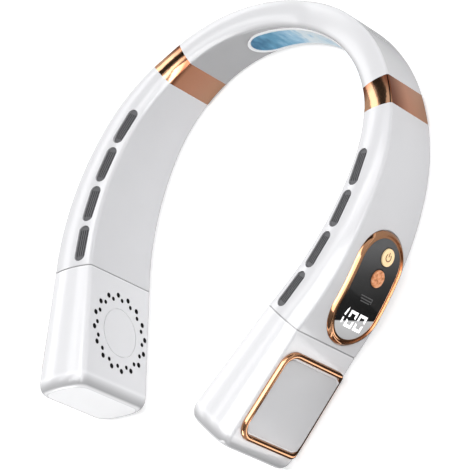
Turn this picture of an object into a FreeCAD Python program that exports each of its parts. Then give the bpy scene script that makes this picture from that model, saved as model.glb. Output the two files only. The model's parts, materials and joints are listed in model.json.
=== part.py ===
import FreeCAD, Part
import math
import os

from FreeCAD import Vector

# Neck fan: a hollow horseshoe band with a centrifugal fan module in each front end.
# Millimetres. +Z is up, +Y is the back of the neck and the band opens towards -Y.
# Right is +X, as seen by someone who faces the open front.

# Plan of the band, measured along its middle line from the back of the neck
neck_half_length = 69.9
ring_length = 15.2
arm_length = 109.1
module_length = 61.6
module_flare = 6.6
neck_bend_radius = 76.5
arm_bend_radius = 89.3
arm_bend_length = 50.3
front_bend_radius = 151.8

# Cross-section of the band: flat sides, crowned top and underside, rounded edges
neck_width = 13.7
neck_height = 25.2
ring_width = 15.0
ring_height = 32.4
module_width = 22.7
seam_height = 49.5
end_height = 52.0
foot_width = 4.4
edge_share = 0.1
crown_share = 1.4
arm_swell_share = 0.3
neck_rise_power = 1.3

# Casing walls and the spigots that join its stretches
wall = 1.8
fit_gap = 0.1
spigot_length = 4.0
spigot_wall = 1.4
spigot_root = 0.3

# Bottom covers with their screws and the bosses that take them
cover_share = 0.66
cover_thickness = 2.4
cover_margin = 6.0
screw_inset = 4.5
screw_offset_share = 0.1
screw_radius = 1.0
screw_length = 5.6
screw_head_radius = 1.8
screw_head_height = 1.0
screw_head_recess = 0.4
screw_thread_gap = 0.02
boss_radius = 2.0

# Vent slots on the crown of each arm and the dark grille strip under them
slot_count = 4
slot_start = 31.4
slot_pitch = 21.8
slot_length = 18.8
slot_width = 5.6
slot_offset_share = -0.22
vent_thickness = 1.2
vent_margin = 2.0
vent_inner_share = -0.5
vent_outer_share = -0.05
vent_depth = 6.0
vent_recess = 0.5
vent_plug_gap = 0.15
slit_length = 14.0
slit_width = 0.45
slit_pitch = 1.1
slit_count = 4

# Cooling plate at the back of the neck, with its cooler and heat sink behind it
plate_length = 72.0
plate_height = 19.4
plate_level = 12.5
plate_depth = 1.0
plate_proud = 0.4
rim_width = 1.2
rim_proud = 0.7
cooler_length = 18.0
cooler_height = 10.0
cooler_thickness = 3.2
cold_block_depth = 2.6
sink_base = 1.4
sink_fin_height = 3.4
sink_fin_thickness = 0.8
sink_fin_count = 6

# Control panel on the outer side of the right arm
panel_station = 80.95
panel_level = 19.55
panel_length = 56.6
panel_height = 33.6
panel_pocket = 1.0
bezel_width = 3.45
bezel_proud = 1.5
bezel_round = 1.2
glass_proud = 1.0
button_radius = 4.1
button_gap = 0.2
button_proud = 1.6
button_flange = 0.8
button_flange_thickness = 0.4
button_seat_gap = 0.15
button_stem_radius = 1.4
button_travel = 0.4
power_along = 17.05
power_level = -2.4
mode_along = 6.4
mode_level = -1.65
display_along = -15.0
display_level = -0.9
display_length = 13.0
display_height = 16.0
display_thickness = 2.2
window_margin = 0.6
board_length = 44.0
board_height = 24.0
board_thickness = 1.0
board_depth = 5.2
post_radius = 1.6
post_inset = 2.6
switch_size = 4.6
switch_height = 1.5
plunger_radius = 1.1

# Battery cells, charging socket and the wire between the arms
battery_length = 58.0
battery_height = 24.0
battery_thickness = 8.0
battery_edge = 1.5
battery_station = 62.0
battery_offset = -2.6
cradle_height = 1.2
cradle_length = 10.0
cradle_width = 6.0
socket_station = 21.0
socket_offset = 3.2
socket_length = 8.9
socket_width = 3.2
socket_depth = 7.2
socket_wall = 0.3
socket_recess = 0.5
socket_gap = 0.25
socket_board_length = 13.0
socket_board_width = 4.2
socket_board_thickness = 1.0
tongue_length = 6.6
tongue_width = 0.7
tongue_depth = 5.0
loom_radius = 1.25
loom_offset = -2.4
loom_clearance = 0.6
loom_gap = 0.8

# Fan module: housing, end cap and intake holes
seam_groove_width = 0.6
seam_groove_depth = 0.4
front_round = 6.5
front_inset = 2.8
front_edge = 6.0
front_wall = 3.0
cap_recess = 0.15
cap_flange_lap = 0.9
cap_flange_thickness = 1.0
fan_station = 28.4
fan_level = 24.3
intake_count = 16
intake_outer_ring = 19.0
intake_inner_ring = 16.9
intake_outer_share = 0.27
intake_inner_share = 0.86
intake_outer_radius = 1.3
intake_inner_radius = 1.1
intake_mark_radius = 12.0
intake_mark_width = 0.5
intake_mark_depth = 0.3

# Plate and rod frame on the outer side of each fan module
pad_station = 31.8
frame_length = 46.0
frame_top_back = 45.8
frame_top_front = 47.2
frame_bend = 7.0
frame_radius = 1.5
frame_sink = 1.05
frame_edge_level = 5.2
frame_low_level = 1.65
frame_low_inset = 3.5
frame_low_depth = 2.5
frame_low_bend = 4.0
pad_pocket = 1.0
pad_gap = 1.0
pad_proud = 0.2
pad_wrap = 4.0
pad_low_level = 3.3

# Fan: scroll, motor and impeller, stacked along the axis that crosses the module
scroll_radius = 18.9
scroll_wall = 1.1
scroll_front = 6.0
scroll_inlet_radius = 12.2
scroll_outlet_low = 2.0
bracket_radius = 9.5
bracket_thickness = 1.2
bearing_radius = 2.6
bearing_clearance = 0.05
shaft_radius = 1.0
shaft_end_gap = 0.35
hub_radius = 8.7
hub_wall = 0.8
hub_front = 0.8
hub_roof = 1.2
hub_rim_gap = 0.75
hub_socket = 0.8
hub_socket_gap = 0.01
thrust_gap = 0.2
magnet_thickness = 0.9
magnet_height = 5.4
magnet_gap = 0.05
stator_gap = 0.05
stator_height = 4.6
stator_core = 1.3
pole_count = 6
pole_reach = 6.4
pole_width = 1.4
pole_shoe = 1.0
pole_shoe_share = 0.62
coil_width = 3.0
coil_inset = 0.5
impeller_radius = 16.8
impeller_plate = 1.0
impeller_ring = 2.6
impeller_ring_thickness = 0.8
impeller_gap = 0.8
blade_count = 22
blade_inner_radius = 12.4
blade_inset = 0.2
blade_thickness = 0.8
blade_lead_share = 0.55
blade_bow_share = 0.3

# Modelling values
overrun = 2.0
station_step = 9.0
nose_steps = 5

ring_back = neck_half_length
ring_front = ring_back + ring_length
seam = ring_front + arm_length
band_end = seam + module_length
spine_arcs = [
    (neck_bend_radius, neck_half_length),
    (arm_bend_radius, arm_bend_length),
    (front_bend_radius, seam - neck_half_length - arm_bend_length),
]


def spine(s):
    """Plan position and heading of the band's middle line, s from the back of the neck."""
    side = -1 if s < 0 else 1
    left = abs(s)
    x, y, heading = 0, 0, 0
    for radius, length in spine_arcs:
        run = min(left, length)
        turn = run / radius
        x += radius * (math.sin(heading + turn) - math.sin(heading))
        y += radius * (math.cos(heading + turn) - math.cos(heading))
        heading += turn
        left -= run
    x += left * math.cos(heading)
    y -= left * math.sin(heading)
    return side * x, y, side * heading


def place(s, n, z):
    """Point at s along the band, n outward of its middle line and z above its foot."""
    x, y, heading = spine(s)
    return Vector(x + n * math.sin(heading), y + n * math.cos(heading), z)


def local_frame(s, n, z, turn=0):
    """Placement at a point of the band, with x towards the back, y up and z outward."""
    heading = spine(s)[2] + turn
    back = Vector(-math.cos(heading), math.sin(heading), 0)
    out = Vector(math.sin(heading), math.cos(heading), 0)
    return FreeCAD.Placement(place(s, n, z), FreeCAD.Rotation(back, Vector(0, 0, 1), out, "XYZ"))


def at(frame, shape):
    """Copy of a shape, moved from its own frame into the given one."""
    moved = shape.copy()
    moved.Placement = frame.multiply(moved.Placement)
    return moved


def mirrored(shape):
    return shape.mirror(Vector(0, 0, 0), Vector(1, 0, 0))


def band_size(s):
    """Width and height of the band: slim at the neck, swelling along the arms."""
    run = abs(s)
    ring_middle = (ring_back + ring_front) / 2
    if run < ring_middle:
        rise = (run / ring_middle) ** neck_rise_power
        width = neck_width + (ring_width - neck_width) * rise
        return width, neck_height + (ring_height - neck_height) * rise
    share = min(1, (run - ring_middle) / (seam - ring_middle))
    rise = share + arm_swell_share * share * (1 - share)
    width = ring_width + (module_width - ring_width) * rise
    height = ring_height + (seam_height - ring_height) * rise
    beyond = max(0, run - seam) / module_length
    return width + flare(s), height + (end_height - seam_height) * beyond


def flare(s):
    """How far the outer side of a fan module has moved outward at s."""
    return module_flare * max(0, abs(s) - seam) / module_length


def side_offset(s):
    return band_size(s)[0] / 2


def band_outline(s, inset, edge=None):
    """Closed section of the band at s, drawn inset from its outer surface."""
    width, height = band_size(s)
    middle = flare(s) / 2
    half = width / 2 - inset
    if edge is None:
        edge = 2 * half * edge_share
    crown = 2 * half * crown_share
    top = height - inset
    foot_drop = crown - math.sqrt(crown ** 2 - (foot_width / 2) ** 2)
    low = inset - foot_drop
    reach = half - edge
    climb = math.sqrt((crown - edge) ** 2 - reach ** 2)
    lean = math.atan2(climb, reach)

    def corner(side, up, angle):
        """Point on a rounded edge, angle from the side towards the crown."""
        centre = top - crown + climb if up > 0 else low + crown - climb
        n = side * (reach + edge * math.cos(angle))
        return place(s, middle + n, centre + up * edge * math.sin(angle))

    def arc(a, b, c):
        return Part.Arc(a, b, c).toShape()

    def line(a, b):
        return Part.LineSegment(a, b).toShape()

    def edge_arc(side, up, first, last):
        return arc(corner(side, up, first), corner(side, up, (first + last) / 2), corner(side, up, last))

    edges = [
        line(corner(1, -1, 0), corner(1, 1, 0)),
        edge_arc(1, 1, 0, lean),
        arc(corner(1, 1, lean), place(s, middle, top), corner(-1, 1, lean)),
        edge_arc(-1, 1, lean, 0),
        line(corner(-1, 1, 0), corner(-1, -1, 0)),
        edge_arc(-1, -1, 0, lean),
        arc(corner(-1, -1, lean), place(s, middle, low), corner(1, -1, lean)),
        edge_arc(1, -1, lean, 0),
    ]
    return Part.Wire(edges)


def lofted(s0, s1, outline):
    """Solid through the outlines at stations from s0 to s1."""
    count = max(1, math.ceil(abs(s1 - s0) / station_step))
    wires = [outline(s0 + (s1 - s0) * i / count) for i in range(count + 1)]
    return Part.makeLoft(wires, True, count == 1)


def band(s0, s1, inset=0, edge=None):
    return lofted(s0, s1, lambda s: band_outline(s, inset, edge))


def grounded(shape):
    """Shape with its crowned underside cut level, so that it has a flat foot."""
    reach = 2 * band_end
    ground = Part.makeBox(2 * reach, 2 * reach, reach, Vector(-reach, -reach, -reach))
    return shape.cut(ground)


def tube(s0, s1, outer_inset, inner_inset):
    """Hollow stretch of the band between two insets."""
    core = band(s0 - overrun, s1 + overrun, inner_inset)
    return grounded(band(s0, s1, outer_inset)).cut(core)


def slab(s0, s1, limits):
    """Bar along the band; limits(s) gives its inner and outer offset, low and high level."""

    def outline(s):
        inner, outer, low, high = limits(s)
        corners = [place(s, inner, low), place(s, outer, low), place(s, outer, high), place(s, inner, high)]
        return Part.makePolygon(corners + corners[:1])

    return lofted(s0, s1, outline)


def rounded_run(corners, bends):
    """Edges along straight runs between points, with an arc of the given radius at each inner point."""
    edges = []
    last = corners[0]
    for before, corner, after, bend in zip(corners, corners[1:], corners[2:], bends):
        back = (before - corner).normalize()
        ahead = (after - corner).normalize()
        half_angle = back.getAngle(ahead) / 2
        inward = (back + ahead).normalize()
        trim = bend / math.tan(half_angle)
        depth = bend / math.sin(half_angle) - bend
        start, end = corner + back * trim, corner + ahead * trim
        edges.append(Part.LineSegment(last, start).toShape())
        edges.append(Part.Arc(start, corner + inward * depth, end).toShape())
        last = end
    edges.append(Part.LineSegment(last, corners[-1]).toShape())
    return edges


def rounded_prism(points, bends, low, high):
    """Prism on a closed outline with rounded corners, between two levels along z."""
    corners = [Vector(x, y, low) for x, y in points]
    start = (corners[0] + corners[-1]) / 2
    wire = Part.Wire(rounded_run([start] + corners + [start], bends))
    return Part.Face(wire).extrude(Vector(0, 0, high - low))


def stadium(length, height, low, high):
    """Prism with round ends about the origin, its length along x."""
    reach = (length - height) / 2
    body = block(2 * reach, height, low, high)
    for side in (-1, 1):
        end = disc(height / 2, low, high)
        end.translate(Vector(side * reach, 0, 0))
        body = body.fuse(end)
    return body.removeSplitter()


def disc(radius, low, high):
    return Part.makeCylinder(radius, high - low, Vector(0, 0, low))


def ring(outer, inner, low, high):
    return disc(outer, low, high).cut(disc(inner, low - overrun, high + overrun))


def block(length, height, low, high):
    """Box about the origin in x and y, between two levels along z."""
    return Part.makeBox(length, height, high - low, Vector(-length / 2, -height / 2, low))


# Casing


def spigot(back, root, tip):
    """Sleeve of a casing end: seated in its wall from back to root, then free as far as the tip."""
    seated = band(min(back, root), max(back, root), wall - spigot_root)
    free = band(min(root, tip), max(root, tip), wall + fit_gap)
    low, high = sorted((back, tip))
    core = band(low - overrun, high + overrun, wall + fit_gap + spigot_wall)
    return seated.fuse(free).cut(core)


def cover_edge(s, side, gap):
    return side * (side_offset(s) * cover_share - gap)


def screw_stations(s0, s1):
    return (s0 + cover_margin + screw_inset, s1 - cover_margin - screw_inset)


def screw_offset(s):
    return band_size(s)[0] * screw_offset_share


def screw_bore(s, radius, low, high):
    return Part.makeCylinder(radius, high - low, place(s, screw_offset(s), low))


def casing(s0, s1):
    """Hollow stretch of the casing, open along its underside, with its screw bosses."""
    body = tube(s0, s1, 0, wall)

    def limits(s):
        return cover_edge(s, -1, 0), cover_edge(s, 1, 0), -overrun, cover_thickness + wall

    body = body.cut(slab(s0 + cover_margin, s1 - cover_margin, limits))
    for s in screw_stations(s0, s1):
        height = band_size(s)[1]
        boss = screw_bore(s, boss_radius, cover_thickness, height)
        boss = boss.common(band(s - boss_radius - overrun, s + boss_radius + overrun, wall / 2))
        bore_top = screw_head_recess + screw_head_height + screw_length + overrun
        boss = boss.cut(screw_bore(s, screw_radius + screw_thread_gap, 0, bore_top))
        body = body.fuse(boss)
    return body


def bottom_cover(s0, s1):
    """Plate that closes the underside of a casing stretch."""

    def limits(s):
        return cover_edge(s, -1, fit_gap), cover_edge(s, 1, fit_gap), -overrun, cover_thickness

    strip = slab(s0 + cover_margin + fit_gap, s1 - cover_margin - fit_gap, limits)
    body = grounded(band(s0, s1)).common(strip)
    seat = screw_head_recess + screw_head_height
    for s in screw_stations(s0, s1):
        body = body.cut(screw_bore(s, screw_head_radius + fit_gap, -overrun, seat))
        body = body.cut(screw_bore(s, screw_radius + fit_gap, -overrun, cover_thickness + overrun))
    return body


def cover_screws(s0, s1):
    """Pan-head screws of one bottom cover."""
    screws = []
    seat = screw_head_recess + screw_head_height
    for s in screw_stations(s0, s1):
        head = screw_bore(s, screw_head_radius, screw_head_recess, seat)
        screws.append(head.fuse(screw_bore(s, screw_radius, seat, seat + screw_length)).removeSplitter())
    return screws


def side_layer(s0, s1, side, low, high):
    """Layer along one flat side of the band, between two heights above that side's surface."""

    def limits(s):
        ends = sorted((side * (side_offset(s) + low), side * (side_offset(s) + high)))
        return ends[0], ends[1], -overrun, band_size(s)[1] + overrun

    return slab(s0, s1, limits)


# Neck


plate_frame = local_frame(0, 0, plate_level)
plate_reach = neck_bend_radius


def plate_layer(length, height, low, high):
    """Stadium cut from a layer on the inner side of the neck; heights count from its surface."""
    layer = side_layer(-neck_half_length, neck_half_length, -1, low, high)
    prism = stadium(length, height, -plate_reach, plate_reach)
    return layer.common(at(plate_frame, prism))


def cold_window(gap, near, far):
    return at(plate_frame, block(cooler_length + 2 * gap, cooler_height + 2 * gap, near, far))


inner_side = -neck_width / 2
block_face = inner_side + cold_block_depth
cooler_face = block_face + cooler_thickness
sink_face = cooler_face + sink_base


def neck_shell():
    """Neck casing whose spigots run through the trim rings into the arms."""
    body = casing(-ring_back, ring_back)
    for side in (-1, 1):
        back, tip = side * (ring_back - spigot_length), side * (ring_front + spigot_length)
        body = body.fuse(spigot(back, side * ring_back, tip))
    body = body.cut(plate_layer(plate_length + 2 * fit_gap, plate_height + 2 * fit_gap, -plate_depth, overrun))
    return body.cut(cold_window(fit_gap, inner_side - overrun, 0)).removeSplitter()


def cooling_plate():
    inset = 2 * (rim_width + fit_gap)
    plate = plate_layer(plate_length - inset, plate_height - inset, -plate_depth, plate_proud)
    back = cold_window(0, inner_side, block_face)
    back = back.cut(side_layer(-neck_half_length, neck_half_length, -1, -plate_depth, overrun))
    return plate.fuse(back).removeSplitter()


def cooling_plate_rim():
    outer = plate_layer(plate_length, plate_height, -plate_depth, rim_proud)
    inset = 2 * rim_width
    return outer.cut(plate_layer(plate_length - inset, plate_height - inset, -plate_depth - overrun, overrun))


def thermoelectric_module():
    return cold_window(0, block_face, cooler_face)


def heat_sink():
    sink = block(cooler_length, cooler_height, cooler_face, sink_face)
    pitch = (cooler_length - sink_fin_thickness) / (sink_fin_count - 1)
    for i in range(sink_fin_count):
        fin = block(sink_fin_thickness, cooler_height, sink_face, sink_face + sink_fin_height)
        fin.translate(Vector((sink_fin_thickness - cooler_length) / 2 + i * pitch, 0, 0))
        sink = sink.fuse(fin)
    return at(plate_frame, sink.removeSplitter())


def wire_loom():
    """Wire between the arms, lying along the band beside its middle line."""
    level = wall + fit_gap + spigot_wall + loom_radius + loom_clearance
    tail = battery_s - battery_length / 2 - loom_gap
    marks = [0, neck_half_length, min(tail, neck_half_length + arm_bend_length), tail]
    stops = [-m for m in reversed(marks)] + marks[1:]
    edges = []
    for a, b in zip(stops, stops[1:]):
        if b - a > fit_gap:
            points = [place(s, loom_offset, level) for s in (a, (a + b) / 2, b)]
            edges.append(Part.Arc(*points).toShape())
    start = place(-tail, loom_offset, level)
    heading = spine(-tail)[2]
    section = Part.makeCircle(loom_radius, start, Vector(math.cos(heading), -math.sin(heading), 0))
    return Part.Wire(edges).makePipeShell([Part.Wire([section])], True, True)


# Arms


def slot_stations():
    return [ring_front + slot_start + i * slot_pitch for i in range(slot_count)]


def crown_prism(s, n, length, width, low, high):
    """Upright stadium on the crown at s, its length along the band."""
    frame = local_frame(s, n, 0)
    shape = stadium(length, width, low, high)
    shape.rotate(Vector(0, 0, 0), Vector(1, 0, 0), -90)
    return at(frame, shape)


def arm_shell():
    """Arm casing with its vent slots and the spigot that carries the fan module."""
    body = casing(ring_front, seam).fuse(spigot(seam - spigot_length, seam, seam + spigot_length))
    for s in slot_stations():
        width, height = band_size(s)
        n = width * slot_offset_share
        body = body.cut(crown_prism(s, n, slot_length, slot_width, height / 2, height + overrun))
    return body


panel_s = ring_front + panel_station
panel_frame = local_frame(panel_s, side_offset(panel_s), panel_level)
keys = {"power": (power_along, power_level), "mode": (mode_along, mode_level)}


def panel_prism(shape, along, level):
    """Place a shape on the control panel, its z along the panel's own axis."""
    shape.translate(Vector(along, level, 0))
    return at(panel_frame, shape)


def panel_layer(low, high):
    return side_layer(panel_s - panel_length, panel_s + panel_length, 1, low, high)


panel_reach = panel_length / 2


def panel_stadium(inset):
    shape = stadium(panel_length - 2 * inset, panel_height - 2 * inset, -panel_reach, panel_reach)
    return at(panel_frame, shape)


def key_bore(name, radius):
    along, level = keys[name]
    return panel_prism(disc(radius, -panel_reach, panel_reach), along, level)


def right_arm_shell():
    body = arm_shell()
    body = body.cut(panel_layer(-panel_pocket, overrun).common(panel_stadium(-fit_gap)))
    skin = side_layer(panel_s - panel_length, panel_s + panel_length, 1, -wall - overrun, overrun)
    for name in keys:
        hole = key_bore(name, button_radius + button_flange + button_gap)
        body = body.cut(skin.common(hole))
    window = block(display_length - window_margin, display_height - window_margin, -panel_reach, panel_reach)
    body = body.cut(skin.common(panel_prism(window, display_along, display_level)))
    root = band(panel_s - panel_length, panel_s + panel_length, (wall + panel_pocket) / 2)
    for side in (-1, 1):
        post = disc(post_radius, -board_depth, panel_reach)
        post = panel_prism(post, side * (board_length / 2 - post_inset), board_height / 2 - post_inset)
        body = body.fuse(post.common(root))
    return body.removeSplitter()


def panel_bezel():
    """Raised ring round the panel with both its outer edges rounded."""
    layer = panel_layer(-panel_pocket, bezel_proud)
    body = layer.common(panel_stadium(0)).cut(panel_stadium(bezel_width))
    to_panel = panel_frame.inverse()
    top = max(body.Faces, key=lambda face: to_panel.multVec(face.CenterOfMass).z)
    return body.makeFillet(bezel_round, top.Edges)


def display_panel():
    body = panel_layer(-panel_pocket, glass_proud).common(panel_stadium(bezel_width + fit_gap))
    for name in keys:
        body = body.cut(key_bore(name, button_radius + button_gap))
    return body


def button(name):
    """Push button: cap through the panel, flange behind it and a stem to its switch."""
    along, level = keys[name]
    flange_top = -panel_pocket - button_seat_gap
    flange_low = flange_top - button_flange_thickness
    cap = panel_layer(flange_low, button_proud).common(key_bore(name, button_radius))
    flange = panel_layer(flange_low, flange_top).common(key_bore(name, button_radius + button_flange))
    stem_end = -board_depth + switch_height + button_travel + button_seat_gap
    stem = panel_prism(disc(button_stem_radius, stem_end, panel_reach), along, level)
    deep = -board_depth - overrun
    stem = stem.common(panel_layer(deep, flange_top))
    return cap.fuse(flange).fuse(stem).removeSplitter()


def control_board():
    return at(panel_frame, block(board_length, board_height, -board_depth - board_thickness, -board_depth))


def display_module():
    shape = block(display_length, display_height, -board_depth, -board_depth + display_thickness)
    return panel_prism(shape, display_along, display_level)


def tact_switches():
    """One switch under each button, on the control board."""
    switches = []
    for along, level in keys.values():
        body = block(switch_size, switch_size, -board_depth, -board_depth + switch_height - fit_gap)
        body = body.fuse(disc(plunger_radius, -board_depth, -board_depth + switch_height)).removeSplitter()
        switches.append(panel_prism(body, along, level))
    return switches


battery_s = ring_front + battery_station
battery_floor = cover_thickness + cradle_height
battery_frame = local_frame(battery_s, battery_offset, battery_floor + battery_height / 2)


def battery():
    cell = block(battery_length, battery_height, -battery_thickness / 2, battery_thickness / 2)
    return at(battery_frame, cell.makeFillet(battery_edge, cell.Edges))


def cradles():
    """Two pads on the bottom cover that carry the battery."""
    pads = []
    for side in (-1, 1):
        pad = block(cradle_length, cradle_height, -cradle_width / 2, cradle_width / 2)
        pad.translate(Vector(side * battery_length / 4, -(battery_height + cradle_height) / 2, 0))
        pads.append(at(battery_frame, pad))
    return pads


def arm_bottom_cover():
    body = bottom_cover(ring_front, seam)
    for pad in cradles():
        body = body.fuse(pad)
    return body.removeSplitter()


socket_s = ring_front + socket_station
socket_frame = local_frame(socket_s, socket_offset, 0)


def upright(shape):
    """Turn a shape whose depth runs along z so that it stands on the base at the socket."""
    shape.rotate(Vector(0, 0, 0), Vector(1, 0, 0), -90)
    return at(socket_frame, shape)


def right_bottom_cover():
    hole = stadium(socket_length + 2 * socket_gap, socket_width + 2 * socket_gap, -overrun, cover_thickness + overrun)
    return arm_bottom_cover().cut(upright(hole))


def charging_port():
    """Charging socket, its mouth in the bottom cover and its small board on that cover."""
    top = socket_recess + socket_depth
    shell = stadium(socket_length, socket_width, socket_recess, top)
    hollow = stadium(socket_length - 2 * socket_wall, socket_width - 2 * socket_wall, 0, top - socket_wall)
    shell = shell.cut(hollow)
    shell = shell.fuse(block(tongue_length, tongue_width, top - tongue_depth, top))
    board_top = cover_thickness + socket_board_thickness
    board = block(socket_board_length, socket_board_width, cover_thickness, board_top)
    board = board.cut(stadium(socket_length, socket_width, cover_thickness - overrun, board_top + overrun))
    return upright(shell.fuse(board).removeSplitter())


def vent_insert():
    """Dark grille strip under the crown of an arm, with a slit plug in each vent slot."""
    stations = slot_stations()
    s0 = stations[0] - slot_length / 2 - vent_margin
    s1 = stations[-1] + slot_length / 2 - vent_margin
    outer = wall + fit_gap

    def limits(s):
        width, height = band_size(s)
        return width * vent_inner_share, width * vent_outer_share, height - wall - vent_depth, height

    strip = tube(s0, s1, outer, outer + vent_thickness).common(slab(s0, s1, limits))
    inset = 2 * vent_plug_gap
    for s in stations:
        width, height = band_size(s)
        reach = slot_length / 2 + overrun
        plug = crown_prism(s, width * slot_offset_share, slot_length - inset, slot_width - inset, height / 2, height)
        strip = strip.fuse(plug.common(tube(s - reach, s + reach, vent_recess, outer + vent_thickness / 2)))
        for i in range(slit_count):
            n = width * slot_offset_share + (i - (slit_count - 1) / 2) * slit_pitch
            strip = strip.cut(crown_prism(s, n, slit_length, slit_width, height / 2, height + overrun))
    return strip


# Fan modules


fan_s = seam + fan_station
fan_frame = local_frame(fan_s, 0, fan_level)
pad_s = seam + pad_station
pad_frame = local_frame(pad_s, module_width / 2 + flare(pad_s), 0, -math.atan2(module_flare, module_length))
inside = module_width / 2 - wall
far_side = inside + module_flare


def rounded_nose(s0, s1):
    """End stretch of the band whose edge rolls in to the flat front."""
    first_edge = band_size(s0)[0] * edge_share
    wires = []
    for i in range(nose_steps + 1):
        angle = math.pi / 2 * i / nose_steps
        share = math.sin(angle)
        edge = first_edge + (front_edge - first_edge) * share ** 2
        wires.append(band_outline(s0 + (s1 - s0) * share, front_inset * (1 - math.cos(angle)), edge))
    return Part.makeLoft(wires, True, False)


def module_cavity():
    return band(seam - overrun, band_end - front_wall, wall)


def intake_holes():
    """Two staggered rings of small holes in the inner side of the module."""
    holes = []
    outer_row = (intake_outer_ring, intake_outer_radius, intake_outer_share)
    inner_row = (intake_inner_ring, intake_inner_radius, intake_inner_share)
    for ring_radius, hole_radius, shift in (outer_row, inner_row):
        for i in range(intake_count):
            angle = 2 * math.pi * (i + shift) / intake_count
            hole = disc(hole_radius, -inside - wall - overrun, -inside + overrun)
            hole.translate(Vector(ring_radius * math.cos(angle), ring_radius * math.sin(angle), 0))
            holes.append(hole)
    return at(fan_frame, Part.makeCompound(holes))


def seam_groove():
    """Shallow step round the seam end of the module."""
    front = seam + seam_groove_width
    return band(seam - overrun, front, -overrun).cut(band(seam - 2 * overrun, front + overrun, seam_groove_depth))


def fan_housing():
    nose_start = band_end - front_round
    body = grounded(band(seam, nose_start).fuse(rounded_nose(nose_start, band_end)))
    body = body.cut(module_cavity())
    body = body.cut(band(band_end - front_wall - overrun, band_end + overrun, front_inset + fit_gap, front_edge))
    body = body.cut(intake_holes())
    face = -inside - wall
    half_mark = intake_mark_width / 2
    mark = ring(intake_mark_radius + half_mark, intake_mark_radius - half_mark, face - overrun, face + intake_mark_depth)
    body = body.cut(at(fan_frame, mark))
    body = body.cut(pad_prism(fit_gap, -pad_wrap - fit_gap).cut(pad_layer(pad_pocket)))
    body = body.cut(frame_rod(frame_radius + fit_gap))
    return body.cut(seam_groove()).removeSplitter()


def end_cap():
    back = band_end - front_wall
    plate = band(back, band_end - cap_recess, front_inset + 2 * fit_gap, front_edge)
    flange = band(back - cap_flange_thickness, back, front_inset - cap_flange_lap)
    return plate.fuse(flange).removeSplitter()


def frame_rod(radius):
    """Closed ring of bent rod round the plate, its lower run tucked under the edge of the module."""
    x = frame_length / 2 - frame_radius
    low_x = x - frame_low_inset
    lift = frame_radius - frame_sink
    half = [
        Vector(low_x / 2, frame_low_level, -frame_low_depth),
        Vector(low_x, frame_low_level, -frame_low_depth),
        Vector(x, frame_edge_level, lift),
    ]
    tops = [Vector(x, frame_top_back - frame_radius, lift), Vector(-x, frame_top_front - frame_radius, lift)]
    corners = half + tops + [Vector(-p.x, p.y, p.z) for p in reversed(half)]
    bends = [frame_low_bend, frame_low_bend, frame_bend]
    path = Part.Wire(rounded_run(corners, bends + bends[::-1]))
    along = Vector(1, 0, 0)
    section = Part.makeCircle(radius, corners[0], along)
    rod = path.makePipeShell([Part.Wire([section])], True, True)
    lower_run = Part.makeCylinder(radius, low_x, corners[-1], along)
    return at(pad_frame, rod.fuse(lower_run).removeSplitter())


def cover_frame():
    return frame_rod(frame_radius)


def pad_prism(gap, low):
    """Prism inside the rod frame, from the given depth outward."""
    inset = 2 * frame_radius + pad_gap - gap
    x = frame_length / 2 - inset
    bend = frame_bend + frame_radius - inset
    low_y = pad_low_level - gap
    points = [(x, low_y), (x, frame_top_back - inset), (-x, frame_top_front - inset), (-x, low_y)]
    return at(pad_frame, rounded_prism(points, [bend, bend, bend, bend], low, overrun))


def pad_layer(inset):
    reach = frame_length / 2 + overrun
    return band(pad_s - reach, pad_s + reach, inset)


def cover_plate():
    """Grey plate that follows the side of the module down to its lower edge."""
    return pad_layer(-pad_proud).cut(pad_layer(pad_pocket)).common(pad_prism(0, -pad_wrap))


plate_low = inside - bracket_thickness
roof_face = -hub_front + hub_roof


def fan_scroll():
    """Drum round the impeller with an inlet on the intake side and an outlet into the arm."""
    body = disc(scroll_radius, -scroll_front, far_side)
    body = body.cut(disc(scroll_radius - scroll_wall, -scroll_front + scroll_wall, far_side + overrun))
    body = body.cut(disc(scroll_inlet_radius, -scroll_front - overrun, inside))
    outlet_height = scroll_radius - scroll_outlet_low
    low = Vector(0, scroll_outlet_low, -scroll_front + scroll_wall)
    outlet = Part.makeBox(scroll_radius + overrun, outlet_height, far_side + scroll_front, low)
    return at(fan_frame, body.cut(outlet)).common(module_cavity())


def motor_bracket():
    """Round plate on the outer wall with the bearing tube of the fan shaft."""
    body = disc(bracket_radius, plate_low, far_side).fuse(disc(bearing_radius, roof_face + thrust_gap, plate_low))
    body = body.cut(disc(shaft_radius + bearing_clearance, -inside, inside))
    return at(fan_frame, body.removeSplitter()).common(module_cavity())


def motor_stator():
    """Wound core on the bearing tube: a ring with poles, each with its coil and shoe."""
    low = plate_low - stator_height
    bore = bearing_radius + stator_gap
    core = bore + stator_core
    body = disc(core, low, plate_low)
    for i in range(pole_count):
        pole = Part.makeBox(pole_reach, pole_width, stator_height, Vector(0, -pole_width / 2, low))
        coil_start = core + coil_inset
        coil_reach = pole_reach - pole_shoe - coil_inset - coil_start
        coil_low = Vector(coil_start, -coil_width / 2, low + coil_inset)
        coil = Part.makeBox(coil_reach, coil_width, stator_height - 2 * coil_inset, coil_low)
        turn = 360 * i / pole_count
        for piece in (pole, coil):
            piece.rotate(Vector(0, 0, 0), Vector(0, 0, 1), turn)
            body = body.fuse(piece)
    shoes = ring(pole_reach, pole_reach - pole_shoe, low, plate_low)
    for i in range(pole_count):
        gap_width = 2 * math.pi * pole_reach / pole_count * (1 - pole_shoe_share)
        gap = Part.makeBox(pole_reach + overrun, gap_width, stator_height + overrun, Vector(0, -gap_width / 2, low))
        gap.rotate(Vector(0, 0, 0), Vector(0, 0, 1), 360 * (i + 1 / 2) / pole_count)
        shoes = shoes.cut(gap)
    body = body.fuse(shoes).cut(disc(bore, low - overrun, plate_low + overrun))
    return at(fan_frame, body.removeSplitter())


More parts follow.
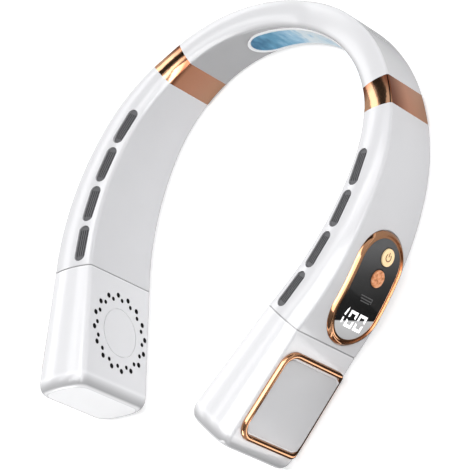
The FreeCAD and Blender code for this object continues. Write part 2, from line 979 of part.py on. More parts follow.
def blade(low, high):
    """One forward-curved blade, bowed between the inlet and the rim."""
    outer = impeller_radius - blade_inset
    chord = outer - blade_inner_radius
    lead = chord * blade_lead_share
    bow = chord * blade_bow_share
    middle = (blade_inner_radius + outer) / 2
    half = blade_thickness / 2
    faces = []
    for side in (-half, half):
        points = [Vector(blade_inner_radius, side, low), Vector(middle, side - bow, low), Vector(outer, side + lead, low)]
        faces.append(points)
    near, far = faces
    edges = [
        Part.Arc(*near).toShape(),
        Part.LineSegment(near[2], far[2]).toShape(),
        Part.Arc(*reversed(far)).toShape(),
        Part.LineSegment(far[0], near[0]).toShape(),
    ]
    return Part.Face(Part.Wire(edges)).extrude(Vector(0, 0, high - low))


def impeller():
    """Centrifugal wheel: hub cup, back plate, curved blades and the ring that ties them."""
    rim = plate_low - hub_rim_gap
    front = -scroll_front + scroll_wall + impeller_gap
    plate_base = rim - impeller_plate
    body = disc(hub_radius, -hub_front, rim).cut(disc(hub_radius - hub_wall, roof_face, rim + overrun))
    body = body.fuse(ring(impeller_radius, hub_radius - hub_wall / 2, plate_base, rim))
    body = body.fuse(ring(impeller_radius, impeller_radius - impeller_ring, front, front + impeller_ring_thickness))
    for i in range(blade_count):
        piece = blade(front + impeller_ring_thickness / 2, plate_base + impeller_plate / 2)
        piece.rotate(Vector(0, 0, 0), Vector(0, 0, 1), 360 * i / blade_count)
        body = body.fuse(piece.common(disc(impeller_radius, -inside, inside)))
    socket = disc(shaft_radius + hub_socket_gap, roof_face - hub_socket, roof_face + overrun)
    return at(fan_frame, body.cut(socket).removeSplitter())


def impeller_shaft():
    return at(fan_frame, disc(shaft_radius, roof_face - hub_socket, inside - shaft_end_gap))


def rotor_magnet():
    outer = hub_radius - hub_wall - magnet_gap
    return at(fan_frame, ring(outer, outer - magnet_thickness, roof_face, roof_face + magnet_height))


def build():
    """All nodes by name; what both sides share is made once and mirrored."""
    paired = {
        "trim_ring": tube(ring_back, ring_front, 0, wall),
        "vent_insert": vent_insert(),
        "battery": battery(),
        "fan_housing": fan_housing(),
        "end_cap": end_cap(),
        "cover_frame": cover_frame(),
        "cover_plate": cover_plate(),
        "fan_scroll": fan_scroll(),
        "motor_bracket": motor_bracket(),
        "motor_stator": motor_stator(),
        "impeller": impeller(),
        "impeller_shaft": impeller_shaft(),
        "rotor_magnet": rotor_magnet(),
    }
    nodes = {}
    for name, shape in paired.items():
        nodes["right_" + name] = shape
        nodes["left_" + name] = mirrored(shape)
    arm_screws = cover_screws(ring_front, seam)
    screws = cover_screws(-ring_back, ring_back) + arm_screws + [mirrored(s) for s in arm_screws]
    nodes.update({
        "neck_shell": neck_shell(),
        "neck_bottom_cover": bottom_cover(-ring_back, ring_back),
        "cooling_plate": cooling_plate(),
        "cooling_plate_rim": cooling_plate_rim(),
        "thermoelectric_module": thermoelectric_module(),
        "heat_sink": heat_sink(),
        "wire_loom": wire_loom(),
        "left_arm_shell": mirrored(arm_shell().removeSplitter()),
        "right_arm_shell": right_arm_shell(),
        "left_bottom_cover": mirrored(arm_bottom_cover()),
        "right_bottom_cover": right_bottom_cover(),
        "panel_bezel": panel_bezel(),
        "display_panel": display_panel(),
        "power_button": button("power"),
        "mode_button": button("mode"),
        "control_board": control_board(),
        "display_module": display_module(),
        "tact_switches": Part.makeCompound(tact_switches()),
        "charging_port": charging_port(),
        "bottom_cover_screws": Part.makeCompound(screws),
    })
    return nodes


def main():
    os.makedirs("parts", exist_ok=True)
    nodes = build()
    back = nodes["neck_shell"].optimalBoundingBox().YMax
    front = nodes["right_fan_housing"].optimalBoundingBox().YMin
    to_origin = Vector(0, -(back + front) / 2, 0)
    for name, shape in sorted(nodes.items()):
        shape.translate(to_origin)
        box = shape.BoundBox
        print(name, len(shape.Solids), shape.isValid(), round(shape.Volume), [round(v) for v in (
            box.XMin, box.XMax, box.YMin, box.YMax, box.ZMin, box.ZMax)])
        shape.exportStep(os.path.join("parts", name + ".step"))
    for name, frame in (("fan axis", fan_frame), ("panel axis", panel_frame)):
        print(name, frame.Base + to_origin, frame.Rotation.multVec(Vector(0, 0, 1)))


main()
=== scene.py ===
import json
import math

import bmesh
import bpy
from mathutils import Matrix, Vector


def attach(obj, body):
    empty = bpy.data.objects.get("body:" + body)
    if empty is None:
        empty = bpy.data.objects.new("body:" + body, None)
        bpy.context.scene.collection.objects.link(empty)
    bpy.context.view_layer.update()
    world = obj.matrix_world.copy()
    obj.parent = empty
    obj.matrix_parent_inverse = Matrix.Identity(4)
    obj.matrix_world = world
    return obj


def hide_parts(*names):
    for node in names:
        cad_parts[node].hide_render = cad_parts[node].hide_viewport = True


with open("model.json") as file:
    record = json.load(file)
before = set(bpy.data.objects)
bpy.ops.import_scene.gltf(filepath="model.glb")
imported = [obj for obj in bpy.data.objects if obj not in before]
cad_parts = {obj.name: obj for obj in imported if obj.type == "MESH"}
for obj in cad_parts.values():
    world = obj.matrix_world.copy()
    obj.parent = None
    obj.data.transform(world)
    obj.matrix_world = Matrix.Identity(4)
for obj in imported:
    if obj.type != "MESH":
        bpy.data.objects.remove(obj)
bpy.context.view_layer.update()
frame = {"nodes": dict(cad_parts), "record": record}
nodes = frame["nodes"]
scene = bpy.context.scene
MM = 0.001

# Layout of the band as in the CAD model, in millimetres. Places along the band count from the nape.
BENDS = ((76.5, 69.9), (89.3, 50.3), (151.8, 74.0))  # radius and length of each arc of the middle line
MIDDLE = 102.17  # how far back the middle line lies at the nape
ARM_START, ARM_LENGTH = 77.5, 116.7
ARM_HALF_WIDTH, ARM_SWELL, ARM_BULGE = 7.5, 3.85, 0.3
PANEL_S, PANEL_LEVEL = 166.05, 19.55
PLANAR = 1.073  # length on the panel's face for each length along the middle line
FAN_S, FAN_LEVEL = 222.6, 24.3


def place(s, n, z):
    """Point in metres at s along the right half of the band, n outward of its middle line."""
    x, y, heading, left = 0.0, MIDDLE, 0.0, s
    for radius, length in BENDS:
        run = min(left, length)
        turn = run / radius
        x += radius * (math.sin(heading + turn) - math.sin(heading))
        y += radius * (math.cos(heading + turn) - math.cos(heading))
        heading += turn
        left -= run
    x += left * math.cos(heading)
    y -= left * math.sin(heading)
    return Vector((x + n * math.sin(heading), y + n * math.cos(heading), z)) * MM


def on_panel(x, y, height):
    """Point on the panel: x towards the back and y up from its centre, height above the arm's side."""
    s = PANEL_S - x
    share = (s - ARM_START) / ARM_LENGTH
    half_width = ARM_HALF_WIDTH + ARM_SWELL * (share + ARM_BULGE * share * (1 - share))
    return place(s, half_width + height, PANEL_LEVEL + y)


GLASS, BUTTON_FACE = 1.0, 1.6  # heights above the arm's side

# The painted reflection, a pale zone at the front end of the panel glass, ends at a line across it; the direction
# square to that line points to the back
reflection_ends = on_panel(-17.4, 10.9, GLASS), on_panel(-11.2, -11.1, GLASS)
panel_out = (on_panel(0, 0, GLASS) - on_panel(0, 0, 0.0)).normalized()
REFLECTION_WAY = panel_out.cross(reflection_ends[1] - reflection_ends[0]).normalized()
reflection_edge = REFLECTION_WAY.dot(reflection_ends[0])
REFLECTION_SPAN = (reflection_edge - 0.0101, reflection_edge + 0.0348)

# Spans in metres that the materials' tones run along
SEAM, NOSE = 0.01668, 0.07828  # first and last faces of a fan module along its way to the front
PAD_SHADE_SPAN = (-0.0735, -0.0235)
PLATE_SPAN = (-0.036, 0.036)
RING_REFLECTION_SPAN = (0.002, 0.032)
NECK_SHADE_SPAN = (0.069, 0.072)


# Materials


def new_material(name, **values):
    """Principled material with its constants set on the shader's own sockets."""
    material = bpy.data.materials.new(name)
    material.use_nodes = True
    shader = material.node_tree.nodes["Principled BSDF"]
    for key, value in values.items():
        socket = key.replace("_", " ").title().replace("Ior", "IOR")
        if isinstance(value, tuple):
            value = (*value, 1.0)
        shader.inputs[socket].default_value = value
    return material


def add_node(material, kind, **inputs):
    """New shader node with constants on its sockets."""
    node = material.node_tree.nodes.new(kind)
    for key, value in inputs.items():
        node.inputs[key].default_value = value
    return node


def object_space(material, scale=(1, 1, 1)):
    """Object coordinates, stretched by scale."""
    links = material.node_tree.links
    coords = add_node(material, "ShaderNodeTexCoord")
    mapping = add_node(material, "ShaderNodeMapping", Scale=scale)
    links.new(coords.outputs["Object"], mapping.inputs["Vector"])
    return mapping.outputs["Vector"]


def noise(material, scale, detail=3.0, stretch=(1, 1, 1)):
    """Noise value in object space."""
    node = add_node(material, "ShaderNodeTexNoise", Scale=scale, Detail=detail)
    material.node_tree.links.new(object_space(material, stretch), node.inputs["Vector"])
    return node.outputs["Fac"]


def ramp(material, source, stops):
    """Colour ramp on a value; stops are (position, colour) pairs."""
    node = add_node(material, "ShaderNodeValToRGB")
    elements = node.color_ramp.elements
    while len(elements) < len(stops):
        elements.new(0.5)
    for element, (position, colour) in zip(elements, stops):
        element.position = position
        element.color = (*colour, 1.0)
    material.node_tree.links.new(source, node.inputs["Fac"])
    return node.outputs["Color"]


def spread(material, source, low, high):
    """Value from 0..1 spread over a range."""
    node = add_node(material, "ShaderNodeMapRange", **{"To Min": low, "To Max": high})
    material.node_tree.links.new(source, node.inputs["Value"])
    return node.outputs["Result"]


def share_of(material, source, start, end):
    """Value as a share, from 0 at start to 1 at end."""
    node = add_node(material, "ShaderNodeMapRange", **{"From Min": start, "From Max": end})
    material.node_tree.links.new(source, node.inputs["Value"])
    return node.outputs["Result"]


def feed(material, source, socket):
    """Links a value or colour to the shader."""
    shader = material.node_tree.nodes["Principled BSDF"]
    material.node_tree.links.new(source, shader.inputs[socket])


def bump(material, source, strength, distance):
    """Small relief on the shader's normal."""
    node = add_node(material, "ShaderNodeBump", Strength=strength, Distance=distance)
    material.node_tree.links.new(source, node.inputs["Height"])
    feed(material, node.outputs["Normal"], "Normal")


SOFT_SCALE, GRAIN_SCALE = 60.0, 900.0
GRAIN_STRENGTH, GRAIN_DEPTH = 0.15, 0.00001
TONE_CHANGE, GLOSS_CHANGE = 0.985, 0.1


def moulded(name, colour, rough, **values):
    """Moulded or plated surface: fine grain and small changes of gloss, and of tone where a colour is given."""
    material = new_material(name, **values)
    soft = noise(material, SOFT_SCALE)
    if colour:
        darker = tuple(c * TONE_CHANGE for c in colour)
        feed(material, ramp(material, soft, [(0.3, darker), (0.7, colour)]), "Base Color")
    feed(material, spread(material, soft, rough * (1 - GLOSS_CHANGE), rough * (1 + GLOSS_CHANGE)), "Roughness")
    bump(material, noise(material, GRAIN_SCALE), GRAIN_STRENGTH, GRAIN_DEPTH)
    return material


def gloss_white(name, colour=None):
    """Glossy white plastic with a clear coat."""
    return moulded(name, colour, 0.25, coat_weight=1.0, coat_roughness=0.12)


def measure(material, operation, source, other):
    """Number from a vector operation between a position and a constant vector."""
    node = material.node_tree.nodes.new("ShaderNodeVectorMath")
    node.operation = operation
    node.inputs[1].default_value = other
    material.node_tree.links.new(source, node.inputs[0])
    return node.outputs["Value"]


def along(material, direction, start, end):
    """Object-space position along a direction, from 0 at start to 1 at end."""
    return share_of(material, measure(material, "DOT_PRODUCT", object_space(material), direction), start, end)


def back_way(side):
    """Direction to the back along the fan module of one side."""
    return Vector((0.3836 * side, 0.9235, 0))


def tone(material, source, stops):
    """Base colour as a grey ramp on a value; stops are (position, grey) pairs."""
    feed(material, ramp(material, source, [(at, (grey, grey, grey * 1.015)) for at, grey in stops]), "Base Color")


def housing_white(side):
    """White plastic of a fan module, with painted shade in its seam groove and on the rounding round its end cap,
    and painted highlights beside the groove and where that rounding starts.
    """
    material = gloss_white("housing_plastic")
    run = along(material, -back_way(side), SEAM, NOSE)
    # painted shade in the seam groove and on the end cap's rounding; painted highlights beside the groove and where
    # the rounding starts
    tone(material, run, [(0.0, 0.36), (0.0105, 0.36), (0.012, 0.9), (0.022, 0.77), (0.87, 0.77), (0.896, 0.85),
                         (0.916, 0.7), (0.955, 0.48), (0.98, 0.4), (0.9935, 0.77)])
    return material


def neck_white():
    """White plastic of the neck, with painted shade on its inner side."""
    material = gloss_white("neck_plastic")
    centre = Vector((0, MIDDLE - BENDS[0][0], 0)) * MM
    reach = measure(material, "DISTANCE", object_space(material, (1, 1, 0)), centre)
    # painted shade: darker towards the inner side of the neck's bend
    tone(material, share_of(material, reach, *NECK_SHADE_SPAN), [(0.0, 0.43), (0.35, 0.5), (1.0, 0.7)])
    return material


def glass_black():
    """Black panel glass with painted reflections: greyer towards the back, and a pale zone at its front end."""
    material = new_material("black_glass", specular_ior_level=0.3)
    run = along(material, REFLECTION_WAY, *REFLECTION_SPAN)
    # painted reflection: a pale zone at the front end, then black glass that greys towards the back
    stops = [(0.0, (0.5, 0.5, 0.5)), (0.22, (0.62, 0.62, 0.62)), (0.225, (0.012, 0.012, 0.012)),
             (0.45, (0.016, 0.016, 0.016)), (0.7, (0.04, 0.04, 0.04)), (1.0, (0.11, 0.11, 0.112))]
    feed(material, ramp(material, run, stops), "Base Color")
    feed(material, spread(material, noise(material, 80.0), 0.05, 0.09), "Roughness")
    return material


def pad_grey(side):
    """Satin grey pad with painted shading: lighter towards its front end, darker towards the back."""
    material = moulded("grey_pad", None, 0.4)
    # painted shading: the pad's tone falls from front to back
    tone(material, along(material, back_way(side), *PAD_SHADE_SPAN), [(0.0, 0.66), (0.5, 0.61), (1.0, 0.51)])
    return material


def icy_metal():
    """Blue anodised plate, darker towards its ends, with frosty streaks."""
    material = new_material("icy_blue", metallic=0.2)
    streaks = noise(material, 260.0, 8.0, (1.0, 1.0, 0.4))
    total = material.node_tree.nodes.new("ShaderNodeMath")
    material.node_tree.links.new(along(material, (1, 0, 0), *PLATE_SPAN), total.inputs[0])
    material.node_tree.links.new(spread(material, streaks, -0.3, 0.3), total.inputs[1])
    stops = [(0.0, (0.05, 0.19, 0.34)), (0.18, (0.14, 0.4, 0.6)), (0.34, (0.4, 0.66, 0.84)),
             (0.48, (0.85, 0.94, 0.98)), (0.66, (0.7, 0.86, 0.95)), (0.85, (0.25, 0.55, 0.78))]
    feed(material, ramp(material, total.outputs["Value"], stops), "Base Color")
    feed(material, spread(material, streaks, 0.2, 0.45), "Roughness")
    bump(material, streaks, 0.2, 0.0002)
    return material


def ring_gold(upper):
    """Rose-gold plating of a trim ring, with a painted reflection on its flat sides: light low down and dark along
    their top edge.
    """
    material = moulded("ring_gold", None, 0.1, metallic=1.0)
    run = along(material, (0, 0, 1), *RING_REFLECTION_SPAN)
    # painted reflection on the flat sides, with a painted dark band just below the crease
    stops = [(0.0, (1.0, 0.62, 0.42)), (0.5, (1.0, 0.5, 0.32)), (0.86, upper), (0.96, (0.3, 0.1, 0.05)),
             (1.0, (0.85, 0.48, 0.28))]
    feed(material, ramp(material, run, stops), "Base Color")
    return material


def mottled_copper():
    """Copper plating with a mottled face, and a faint emission that is a painted glow."""
    # the emission is a painted glow; the button is no lamp
    material = moulded("copper_plating", None, 0.4, metallic=0.3, emission_color=(1.0, 0.35, 0.12),
                       emission_strength=0.06)
    stops = [(0.38, (0.62, 0.22, 0.09)), (0.5, (0.9, 0.38, 0.18)), (0.62, (1.0, 0.52, 0.3))]
    feed(material, ramp(material, noise(material, 650.0, 4.0), stops), "Base Color")
    return material


white = gloss_white("white_plastic", (0.7, 0.7, 0.712))
# brighter copy of the white plastic, for the end caps and the plate's rim: its extra brightness is painted light
cap_white = moulded("cap_plastic", (0.9, 0.9, 0.91), 0.3, coat_weight=0.5, coat_roughness=0.15)
gold = moulded("rose_gold", (0.72, 0.37, 0.2), 0.1, metallic=1.0)
# the power button's emission is a painted glow that brightens it
pale_gold = moulded("pale_gold", (0.98, 0.76, 0.45), 0.4, metallic=0.3, emission_color=(1.0, 0.75, 0.4),
                    emission_strength=0.3)
copper = mottled_copper()
lit_white = moulded("lit_figures", (0.9, 0.9, 0.9), 0.4, emission_color=(1.0, 1.0, 1.0), emission_strength=0.7)
icon_grey = moulded("icon_grey", (0.1, 0.1, 0.1), 0.4)
sign_brown = moulded("sign_brown", (0.3, 0.16, 0.06), 0.5)
# black that stands in for shade: painted shade in the intake holes and round the buttons
shade_black = moulded("painted_shade_black", (0.01, 0.01, 0.01), 0.8)
black = glass_black()
dark = moulded("dark_plastic", (0.1, 0.1, 0.105), 0.5)
steel = moulded("plated_steel", (0.7, 0.7, 0.72), 0.25, metallic=1.0)
blue = icy_metal()
ceramic = moulded("ceramic", (0.85, 0.85, 0.82), 0.6)
board = moulded("solder_resist", (0.03, 0.2, 0.09), 0.35)
core = moulded("motor_core", (0.25, 0.22, 0.2), 0.4, metallic=0.6)
wrap = moulded("battery_wrap", (0.1, 0.25, 0.55), 0.4)
rubber = moulded("wire_jacket", (0.03, 0.03, 0.03), 0.6)
finish = {
    "white_plastic": white, "rose_gold": gold, "black_panel": black, "cooling_metal": blue, "grey_pad": pad_grey(1),
    "dark_plastic": dark, "ceramic": ceramic, "bare_aluminium": steel, "circuit_board": board, "steel": steel,
    "motor_metal": core, "battery_wrap": wrap, "wire_jacket": rubber,
}
special = {
    "left_end_cap": cap_white, "right_end_cap": cap_white, "cooling_plate_rim": cap_white,
    "power_button": pale_gold, "mode_button": copper, "neck_shell": neck_white(),
    "left_fan_housing": housing_white(-1), "right_fan_housing": housing_white(1),
    # lit and shaded copies of the painted reflection: lighter on the left ring, darker on the right
    "left_trim_ring": ring_gold((0.9, 0.42, 0.25)), "right_trim_ring": ring_gold((0.4, 0.15, 0.08)),
    "left_cover_plate": pad_grey(-1),
}
for part in frame["record"]["subparts"]:
    node = nodes[part["node"]]
    node.data.materials.clear()
    node.data.materials.append(special.get(part["node"], finish[part["material_slot"]]))


WELD, SMOOTH_ANGLE = 1e-6, math.radians(25)
PAD_EDGE, PAD_EDGE_ANGLE = 0.0006, math.radians(40)


def smooth_group():
    """Geometry nodes that weld the faces' edges and shade smooth below an angle."""
    tree = bpy.data.node_groups.new("smooth_by_angle", "GeometryNodeTree")
    tree.interface.new_socket("Geometry", in_out="INPUT", socket_type="NodeSocketGeometry")
    tree.interface.new_socket("Geometry", in_out="OUTPUT", socket_type="NodeSocketGeometry")
    start = tree.nodes.new("NodeGroupInput")
    end = tree.nodes.new("NodeGroupOutput")
    merge = tree.nodes.new("GeometryNodeMergeByDistance")
    merge.inputs["Distance"].default_value = WELD
    faces = tree.nodes.new("GeometryNodeSetShadeSmooth")
    faces.domain = "FACE"
    angle = tree.nodes.new("GeometryNodeInputMeshEdgeAngle")
    limit = tree.nodes.new("FunctionNodeCompare")
    limit.operation = "LESS_EQUAL"
    limit.inputs[1].default_value = SMOOTH_ANGLE
    edges = tree.nodes.new("GeometryNodeSetShadeSmooth")
    edges.domain = "EDGE"
    tree.links.new(start.outputs[0], merge.inputs["Geometry"])
    tree.links.new(merge.outputs["Geometry"], faces.inputs["Geometry"])
    tree.links.new(faces.outputs["Geometry"], edges.inputs["Geometry"])
    tree.links.new(angle.outputs["Unsigned Angle"], limit.inputs[0])
    tree.links.new(limit.outputs["Result"], edges.inputs["Shade Smooth"])
    tree.links.new(edges.outputs["Geometry"], end.inputs[0])
    return tree


smooth_tree = smooth_group()
for node in (nodes["left_cover_plate"], nodes["right_cover_plate"]):
    edge = node.modifiers.new("edge", "BEVEL")
    edge.width, edge.segments, edge.angle_limit = PAD_EDGE, 3, PAD_EDGE_ANGLE
for node in nodes.values():
    node.modifiers.new("smooth", "NODES").node_group = smooth_tree
    weighted = node.modifiers.new("weighted", "WEIGHTED_NORMAL")
    weighted.keep_sharp = True


# Details


def mesh_piece(name, body, material, verts, faces):
    """Mesh object that rides on a CAD body."""
    mesh = bpy.data.meshes.new(name)
    mesh.from_pydata(verts, [], faces)
    outward = bmesh.new()
    outward.from_mesh(mesh)
    bmesh.ops.recalc_face_normals(outward, faces=outward.faces)
    outward.to_mesh(mesh)
    outward.free()
    mesh.materials.append(material)
    piece = bpy.data.objects.new(name, mesh)
    scene.collection.objects.link(piece)
    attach(piece, body)
    return piece


def raised(name, body, material, outlines, low, high):
    """Thin raised shapes on the panel, from outlines of (x, y) points."""
    verts, faces = [], []
    for outline in outlines:
        first, count = len(verts), len(outline)
        verts += [on_panel(x, y, height) for height in (low, high) for x, y in outline]
        faces.append([first + count + i for i in range(count)])
        faces.append([first + i for i in reversed(range(count))])
        for i in range(count):
            j = (i + 1) % count
            faces.append([first + i, first + j, first + count + j, first + count + i])
    mesh_piece(name, body, material, verts, faces)


# The display and the buttons: x towards the back and y up from the panel's centre
STROKE = 1.25
FIGURE_TOP, FIGURE_LOW, FIGURE_WAIST = -10.4, -18.0, -14.2


def bar(x0, y0, x1, y1):
    """Outline of a rectangle between two corners."""
    return [(x0, y0), (x0, y1), (x1, y1), (x1, y0)]


def nought(left, right):
    """Two facing brackets of a lit nought; the figure's top points to the back and it reads downward."""
    shapes = []
    for outer, sign in ((FIGURE_TOP, -1), (FIGURE_LOW, 1)):
        inner = outer + sign * STROKE
        tip = FIGURE_WAIST - sign * 0.45
        shapes.append(bar(inner, left, outer, right))
        for edge, turn in ((left, -1), (right, 1)):
            side = edge + turn * STROKE
            shapes.append([(inner, edge), (inner, side), (tip - sign * 0.5, side), (tip, edge)])
    return shapes


one = [
    [(FIGURE_TOP + 0.7, 6.2), (FIGURE_TOP - 0.6, 7.1), (FIGURE_WAIST + 0.9, 7.6), (FIGURE_WAIST + 0.5, 6.6),
     (FIGURE_TOP - 0.8, 6.0)],
    [(FIGURE_WAIST - 0.3, 7.5), (FIGURE_WAIST - 0.3, 6.6), (FIGURE_LOW + 1.2, 6.2), (FIGURE_LOW + 0.7, 7.3)],
]
figures = one + nought(4.3, -1.2) + nought(-2.6, -8.3)
raised("display_figures", "casing", lit_white, figures, GLASS, GLASS + 0.06)
icon = [bar(-2.7, 3.6, -3.2, -5.4), bar(-3.9, 3.0, -4.4, -4.9), bar(-5.0, 2.4, -5.5, -4.4),
        bar(-3.2, -5.0, -5.0, -5.5)]
raised("display_icon", "casing", icon_grey, icon, GLASS, GLASS + 0.04)


def arc_band(x, y, radius, width, start, end, steps=18):
    """Outline of a band along an arc, angles from the back in degrees."""
    angles = [math.radians(start + (end - start) * i / steps) for i in range(steps + 1)]
    outer, inner = radius + width / 2, radius - width / 2
    turns = [(outer, a) for a in angles] + [(inner, a) for a in reversed(angles)]
    return [(x + r * math.cos(a) / PLANAR, y + r * math.sin(a)) for r, a in turns]


POWER, MODE = (15.89, -2.4), (5.96, -1.65)
SIGN_RADIUS, SIGN_STROKE = 1.75, 0.5
GAP_RADIUS, GAP_WIDTH = 4.46, 0.42  # the ring's inner edge clears the button, which has a radius of 4.1
power_sign = [arc_band(*POWER, SIGN_RADIUS, SIGN_STROKE, 38, 322),
              bar(POWER[0] + 0.3, POWER[1] - 0.25, POWER[0] + 2.3, POWER[1] + 0.25)]
raised("power_sign", "power_key", sign_brown, power_sign, BUTTON_FACE - 0.05, BUTTON_FACE + 0.1)

# black rings on the glass round the buttons: painted shade in the gaps
gap_shades = [arc_band(*key, GAP_RADIUS, GAP_WIDTH, start, start + 180) for key in (POWER, MODE) for start in (0, 180)]
raised("button_gap_shade", "casing", shade_black, gap_shades, GLASS - 0.1, GLASS + 0.03)

# The bezel's profile as pairs of inset and height, its outer radius, and half the distance between its end arcs
BEZEL_PROFILE = (
    (0.0, -0.5), (0.0, 0.0), (0.08, 0.18), (0.4, 0.56), (0.75, 0.92), (1.1, 1.24), (1.45, 1.5), (1.7, 1.6),
    (1.85, 1.6), (1.95, 1.52), (2.0, 1.3), (2.02, 0.9), (2.1, 0.85), (2.4, 1.0), (2.7, 1.1), (3.2, 1.1),
    (3.4, 1.05), (3.45, 0.95), (3.45, -0.5),
)
BEZEL_RADIUS, BEZEL_REACH = 16.8, 11.5
ARC_STEPS, SIDE_STEPS = 32, 12


def bezel_ring():
    """Bezel with a sloping outer side, a groove and a thin inner lip."""
    rim = []
    for centre, start in ((BEZEL_REACH, -90), (-BEZEL_REACH, 90)):
        for i in range(ARC_STEPS + 1):
            angle = math.radians(start + 180 * i / ARC_STEPS)
            rim.append((centre, math.cos(angle), math.sin(angle)))
        across = math.sin(math.radians(start + 180))
        rim += [(centre - 2 * centre * i / SIDE_STEPS, 0.0, across) for i in range(1, SIDE_STEPS)]
    verts, faces = [], []
    for centre, c, s in rim:
        for inset, height in BEZEL_PROFILE:
            r = BEZEL_RADIUS - inset
            verts.append(on_panel((centre + r * c) / PLANAR, r * s, height))
    count, turns = len(BEZEL_PROFILE), len(rim)
    for i in range(turns):
        j = (i + 1) % turns
        for k in range(count):
            m = (k + 1) % count
            faces.append([i * count + k, j * count + k, j * count + m, i * count + m])
    piece = mesh_piece("bezel_ring", "casing", gold, verts, faces)
    piece.data.shade_smooth()
    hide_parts("panel_bezel")


bezel_ring()

HOLE_RINGS = ((19.0, 1.28, 0.27), (16.9, 1.08, 0.86))  # ring radius, cup radius, and turn as a share of the pitch
HOLES = 16
CUP_MOUTH, CUP_BACK, CUP_FLOOR, CUP_WALL = -11.28, -9.2, -9.4, 0.12
CUP_STEPS = 14


def intake_shade_cups(side):
    """Black cups in the intake holes of one fan module: painted shade for the holes' dark depth."""
    verts, faces = [], []
    steps = CUP_STEPS
    for ring, radius, shift in HOLE_RINGS:
        bore = radius - CUP_WALL
        for i in range(HOLES):
            turn = 2 * math.pi * (i + shift) / HOLES
            x, y = ring * math.cos(turn), ring * math.sin(turn)
            first = len(verts)
            for r, depth in ((radius, CUP_BACK), (radius, CUP_MOUTH), (bore, CUP_MOUTH), (bore, CUP_FLOOR)):
                for k in range(steps):
                    angle = 2 * math.pi * k / steps
                    point = place(FAN_S - x - r * math.cos(angle), depth, FAN_LEVEL + y + r * math.sin(angle))
                    point.x *= side
                    verts.append(point)
            faces.append([first + k for k in range(steps)])
            faces.append([first + 3 * steps + k for k in range(steps)])
            for level in range(3):
                low = first + level * steps
                for k in range(steps):
                    j = (k + 1) % steps
                    faces.append([low + k, low + j, low + steps + j, low + steps + k])
    name = "right_intake_shade_cups" if side > 0 else "left_intake_shade_cups"
    mesh_piece(name, "casing", shade_black, verts, faces)


intake_shade_cups(1)
intake_shade_cups(-1)


# Stage


FLOOR_SIZE = 12.0


def aim(thing, spot, target):
    """Puts a light or a card at a spot, facing a target."""
    thing.location = spot
    thing.rotation_mode = "QUATERNION"
    thing.rotation_quaternion = (Vector(target) - Vector(spot)).to_track_quat("-Z", "Y")


def area_light(name, spot, target, size, power):
    """White rectangular light."""
    data = bpy.data.lights.new(name, "AREA")
    data.shape = "RECTANGLE"
    data.size, data.size_y = size
    data.energy = power
    light = bpy.data.objects.new(name, data)
    scene.collection.objects.link(light)
    aim(light, spot, target)
    return light


def sheet(name, verts, faces, material):
    """Flat object of the stage."""
    mesh = bpy.data.meshes.new(name)
    mesh.from_pydata(verts, [], faces)
    mesh.materials.append(material)
    flat = bpy.data.objects.new(name, mesh)
    scene.collection.objects.link(flat)
    return flat


def rectangle(name, width, depth, material):
    """Rectangle of the stage, about the origin."""
    corners = [(sx * width / 2, sy * depth / 2, 0) for sx, sy in ((-1, -1), (1, -1), (1, 1), (-1, 1))]
    return sheet(name, corners, [(0, 1, 2, 3)], material)


floor_material = new_material("pale_floor", base_color=(0.8, 0.8, 0.8), roughness=0.9, specular_ior_level=0.0,
                              emission_color=(1.0, 1.0, 1.0), emission_strength=0.4)
floor = rectangle("floor", FLOOR_SIZE, FLOOR_SIZE, floor_material)

# Studio walls that brighten from the front to the back
world = bpy.data.worlds.new("studio")
scene.world = world
world.use_nodes = True
background = world.node_tree.nodes["Background"]
background.inputs["Color"].default_value = (0.8, 0.8, 0.82, 1)
coords = add_node(world, "ShaderNodeTexCoord")
split = add_node(world, "ShaderNodeSeparateXYZ")
shade = add_node(world, "ShaderNodeMapRange", **{"From Min": -1.0, "To Min": 0.12, "To Max": 0.9})
world.node_tree.links.new(coords.outputs["Generated"], split.inputs["Vector"])
world.node_tree.links.new(split.outputs["Y"], shade.inputs["Value"])
world.node_tree.links.new(shade.outputs["Result"], background.inputs["Strength"])

# Lights; the rim light shows in no reflection, and the gloss lights show only in reflections
area_light("overhead", (0.0, 0.0, 1.4), (0, 0, 0), (0.9, 0.9), 10.0)
area_light("key", (0.95, -0.3, 1.25), (0, 0, 0), (0.5, 0.5), 2.0)
rim = area_light("rim", (-1.2, 0.35, 0.28), (0, 0, 0.02), (1.8, 0.36), 7.5)
rim.visible_glossy = False
area_light("strip", (-0.72, 0.3, 1.35), (0, 0, 0), (1.4, 0.22), 1.6)
area_light("fill", (0.4, 0.12, 0.5), (-0.06, -0.06, 0.02), (0.3, 0.3), 0.6)
gloss_lights = [
    area_light("camera_gloss", (1.06, -0.38, 1.13), (0, 0, 0), (1.2, 1.3), 11.0),
    area_light("left_gloss", (-1.1, 0.33, 0.66), (0, 0, 0.03), (1.2, 0.3), 1.7),
    area_light("back_gloss", (-0.33, 0.7, 1.34), (0, 0, 0.03), (0.5, 0.25), 0.8),
]
for light in gloss_lights:
    light.visible_diffuse = False
area_light("front", (-0.1, -0.5, 0.1), (-0.05, -0.109, 0.025), (0.2, 0.2), 0.75)


def hide_card(card):
    """Stage card that shows in reflections only."""
    card.visible_camera = False
    card.visible_diffuse = False
    card.visible_shadow = False
    card.visible_transmission = False


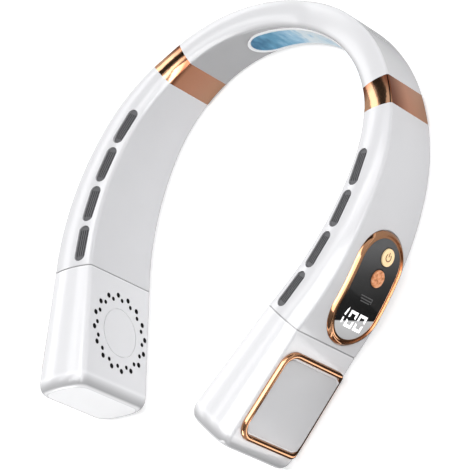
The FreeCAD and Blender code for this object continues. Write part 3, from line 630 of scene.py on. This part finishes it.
def dark_card(name, spot, target, size, grey=0.01):
    """Flag of one tone, seen only in reflections."""
    card = rectangle(name, *size, new_material(name, base_color=(grey, grey, grey), roughness=1.0))
    aim(card, spot, target)
    hide_card(card)


dark_card("far_flag", (-1.05, 0.25, 1.15), (0, 0, 0), (2.0, 0.42))
dark_card("back_flag", (0.45, 1.15, 0.55), (0, 0, 0.03), (0.9, 0.9))
dark_card("low_flag", (1.15, -0.75, 0.16), (0, 0, 0.03), (0.9, 0.3))
dark_card("floor_flag", (0, 0, 0.0004), (0, 0, -1), (0.9, 0.9), 0.36)
dark_card("pad_flag", (0.105, -0.09, 0.0005), (0.105, -0.09, -1), (0.11, 0.12), 0.05)

GLOW_TIPS, GLOW_REACH, GLOW_ANGLES = ((0.064, -0.1), (0.0765, -0.06)), 0.055, (-56, -42, -26, -12)


def floor_glow():
    """Bright wedges on the floor beside the right pad's frame, seen only in reflections."""
    verts, faces = [], []
    for x, y in GLOW_TIPS:
        first = len(verts)
        verts.append((x, y, 0))
        for angle in map(math.radians, GLOW_ANGLES):
            verts.append((x + GLOW_REACH * math.cos(angle), y + GLOW_REACH * math.sin(angle), 0))
        faces.append(list(range(first, len(verts))))
    material = new_material("glow", emission_color=(1.0, 1.0, 1.0), emission_strength=0.95)
    glow = sheet("floor_glow", verts, faces, material)
    glow.location = (0, 0, 0.0007)
    hide_card(glow)


floor_glow()
scene.view_settings.view_transform = "Standard"

# Camera at the photograph's viewing angle, as fitted to its landmarks
camera_place = Vector((0.85154, -0.18921, 0.96046))
right = Vector((0.7323, 0.3175, -0.6024)).normalized()
down = Vector((0.1483, -0.9378, -0.3139))
down = (down - right * down.dot(right)).normalized()
ahead = right.cross(down)
focal_pixels, image_pixels = 2710.5, 470
data = bpy.data.cameras.new("camera")
camera = bpy.data.objects.new("camera", data)
scene.collection.objects.link(camera)
data.sensor_width = 36.0
data.lens = focal_pixels / image_pixels * data.sensor_width
data.clip_end = 20.0
turn = Matrix((right, -down, -ahead)).transposed()
camera.matrix_world = Matrix.Translation(camera_place) @ turn.to_4x4()
scene.camera = camera
